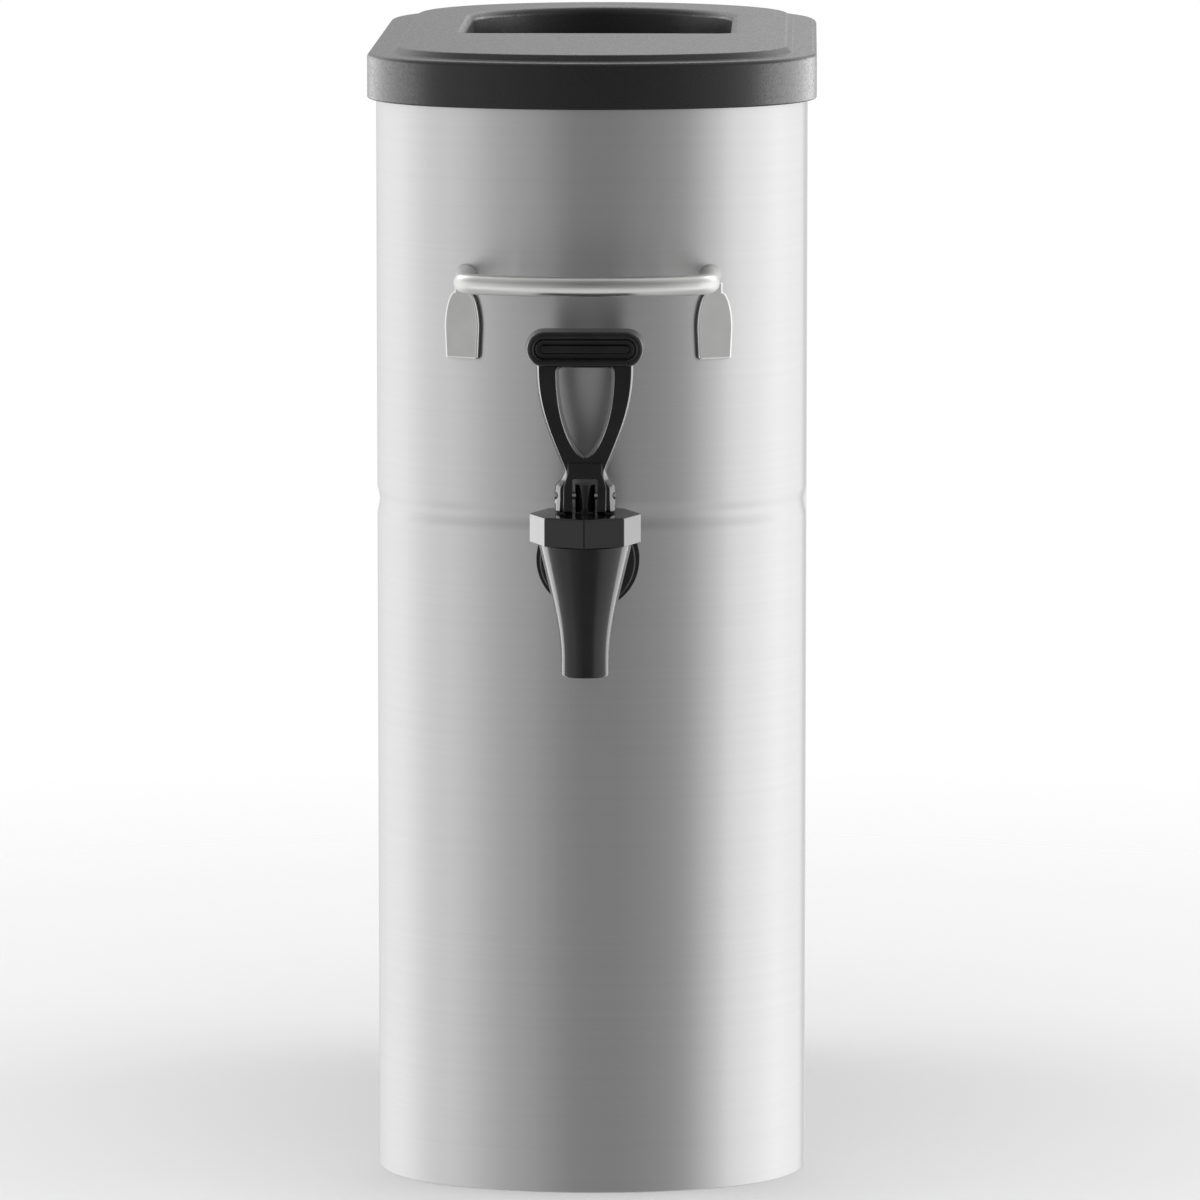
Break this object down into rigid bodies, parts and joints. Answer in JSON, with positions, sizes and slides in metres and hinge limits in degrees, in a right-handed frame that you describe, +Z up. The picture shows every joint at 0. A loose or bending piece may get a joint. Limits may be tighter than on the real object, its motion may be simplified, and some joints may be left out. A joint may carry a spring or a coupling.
{
  "type": "cold drink dispenser",
  "caption": "Slim oval steel drink dispenser with a lift-off black lid, fixed rod handles at the front and back and an upright-lever tap on the front.",
  "frame": {"origin": "centre of the steel body's plan, on the surface that it stands on", "axes": "+Z up, -Y towards the tap and the front handle, +X to the right of someone facing the tap"},
  "size_m": [0.1812, 0.448, 0.4576],
  "materials": {
    "steel_sheet": "fine horizontal brushing",
    "handle_steel": "satin",
    "lid_plastic": "fine moulded grain",
    "tap_plastic": "moulded gloss",
    "black_rubber": "matte",
    "clear_silicone": "soft, milky"
  },
  "bodies": {
    "tank": {"body_shell": "steel_sheet", "base_ring": "steel_sheet", "tank_floor": "steel_sheet", "front_handle": "handle_steel", "front_tab_left": "handle_steel", "front_tab_right": "handle_steel", "rear_handle": "handle_steel", "rear_tab_left": "handle_steel", "rear_tab_right": "handle_steel", "faucet_body": "tap_plastic", "outer_gasket": "black_rubber", "inner_gasket": "clear_silicone", "clamp_washer": "steel_sheet", "shank_nut": "tap_plastic", "faucet_bonnet": "tap_plastic", "bonnet_seal": "clear_silicone", "valve_spring": "handle_steel"},
    "lid": {"lid": "lid_plastic"},
    "valve": {"valve_stem": "tap_plastic", "seat_cup": "clear_silicone", "lever_pin": "handle_steel"},
    "lever": {"tap_lever": "tap_plastic"}
  },
  "joints": [
    {"name": "lid_lift", "type": "slide", "parent": "tank", "child": "lid", "axis": [0, 0, 1], "range_m": [0, 0.12]},
    {"name": "stem_lift", "type": "slide", "parent": "tank", "child": "valve", "axis": [0, 0, 1], "range_m": [0, 0.004], "stiffness_N_per_m": 600, "springref_m": -0.006, "deforming": ["valve_spring"]},
    {"name": "lever_tilt", "type": "hinge", "parent": "valve", "child": "lever", "pos_m": [0, -0.212, 0.288], "axis": [1, 0, 0], "range_deg": [0, 35]}
  ],
  "couplings": [
    {"joint": "lever_tilt", "follows": "stem_lift", "rad_per_m": 152.7}
  ]
}
